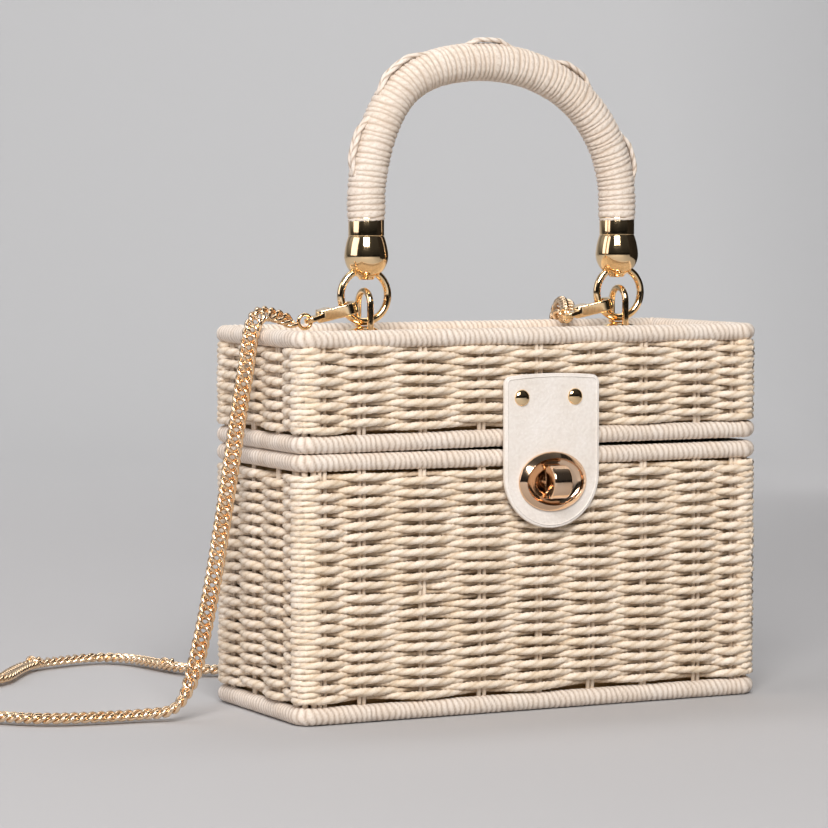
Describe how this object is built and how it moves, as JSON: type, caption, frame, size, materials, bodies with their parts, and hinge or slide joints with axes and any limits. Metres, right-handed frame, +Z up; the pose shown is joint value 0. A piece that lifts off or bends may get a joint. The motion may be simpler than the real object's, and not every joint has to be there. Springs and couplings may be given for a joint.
{
  "type": "basket box bag",
  "caption": "Rectangular woven cord box bag with a hinged lid, leather turn-lock tab, cord-wrapped ring-mounted handle and a clip-on curb chain strap",
  "frame": {"origin": "on the floor under the middle of the basket's plan", "axes": "X along the bag's width with the lock at -Y, Z up"},
  "size_m": [0.3547, 0.2437, 0.2818],
  "materials": {
    "weave_cord": "matt two-ply twisted paper cord, warm ivory",
    "rim_cord": "matt paper cord wound closely round the rims, pale ivory",
    "handle_cord": "matt paper cord wound closely round the handle",
    "tab_leather": "pebbled off-white leather with a painted edge",
    "gold_metal": "polished pale rose-gold plating",
    "strap_chain": "polished pale rose-gold curb chain",
    "plain_steel": "plain pressed steel, hidden inside",
    "lining_cloth": "plain woven cotton lining, olive brown"
  },
  "bodies": {
    "basket": {"basket_front_weave": "weave_cord", "basket_back_weave": "weave_cord", "basket_left_weave": "weave_cord", "basket_right_weave": "weave_cord", "basket_corner_posts": "weave_cord", "basket_bottom_weave": "weave_cord", "basket_top_rim": "rim_cord", "basket_bottom_rim": "rim_cord", "basket_lining": "lining_cloth", "hinge_lashing_left": "rim_cord", "hinge_lashing_right": "rim_cord", "lock_base_plate": "gold_metal", "lock_inner_plate": "plain_steel", "strap_floor": "strap_chain"},
    "lid": {"lid_front_weave": "weave_cord", "lid_back_weave": "weave_cord", "lid_left_weave": "weave_cord", "lid_right_weave": "weave_cord", "lid_corner_posts": "weave_cord", "lid_top_weave": "weave_cord", "lid_top_rim": "rim_cord", "lid_bottom_rim": "rim_cord", "lid_lining": "lining_cloth", "lock_tab": "tab_leather", "tab_rivets": "gold_metal", "lock_bezel": "gold_metal", "lock_backing_plate": "plain_steel", "staple_left": "gold_metal", "staple_right": "gold_metal", "staple_washer_left": "gold_metal", "staple_washer_right": "gold_metal", "staple_backing_left": "plain_steel", "staple_backing_right": "plain_steel", "strap_left_end": "strap_chain", "strap_right_end": "strap_chain", "strap_hinge": "strap_chain"},
    "knob": {"lock_knob": "gold_metal"},
    "rings": {"handle_ring_left": "gold_metal", "handle_ring_right": "gold_metal", "clasp_body_left": "gold_metal", "clasp_body_right": "gold_metal", "clasp_jump_ring_left": "gold_metal", "clasp_jump_ring_right": "gold_metal"},
    "handle": {"handle_grip": "handle_cord", "handle_ferrule_left": "gold_metal", "handle_ferrule_right": "gold_metal"},
    "lever_left": {"clasp_lever_left": "gold_metal"},
    "lever_right": {"clasp_lever_right": "gold_metal"}
  },
  "joints": [
    {"name": "lid_open", "type": "hinge", "parent": "basket", "child": "lid", "pos_m": [0, 0.0413, 0.115], "axis": [-1, 0, 0], "range_deg": [0, 105], "deforming": ["lock_tab", "lock_bezel", "lock_backing_plate", "strap_hinge"]},
    {"name": "ring_swing", "type": "hinge", "parent": "lid", "child": "rings", "pos_m": [0, 0, 0.163], "axis": [1, 0, 0], "range_deg": [-45, 45]},
    {"name": "handle_swing", "type": "hinge", "parent": "rings", "child": "handle", "pos_m": [0, 0, 0.1848], "axis": [1, 0, 0], "range_deg": [-22, 22]},
    {"name": "lock_knob_turn", "type": "hinge", "parent": "basket", "child": "knob", "pos_m": [0.0055, -0.0465, 0.0966], "axis": [0, 1, 0], "range_deg": [0, 90]},
    {"name": "clasp_lever_left_press", "type": "hinge", "parent": "rings", "child": "lever_left", "pos_m": [-0.07524, 0.0054, 0.16616], "axis": [0.2419, 0, -0.9703], "range_deg": [0, 14], "stiffness_Nm_per_rad": 0.02},
    {"name": "clasp_lever_right_press", "type": "hinge", "parent": "rings", "child": "lever_right", "pos_m": [0.04796, 0.0054, 0.16616], "axis": [0.2419, 0, -0.9703], "range_deg": [0, 14], "stiffness_Nm_per_rad": 0.02}
  ]
}
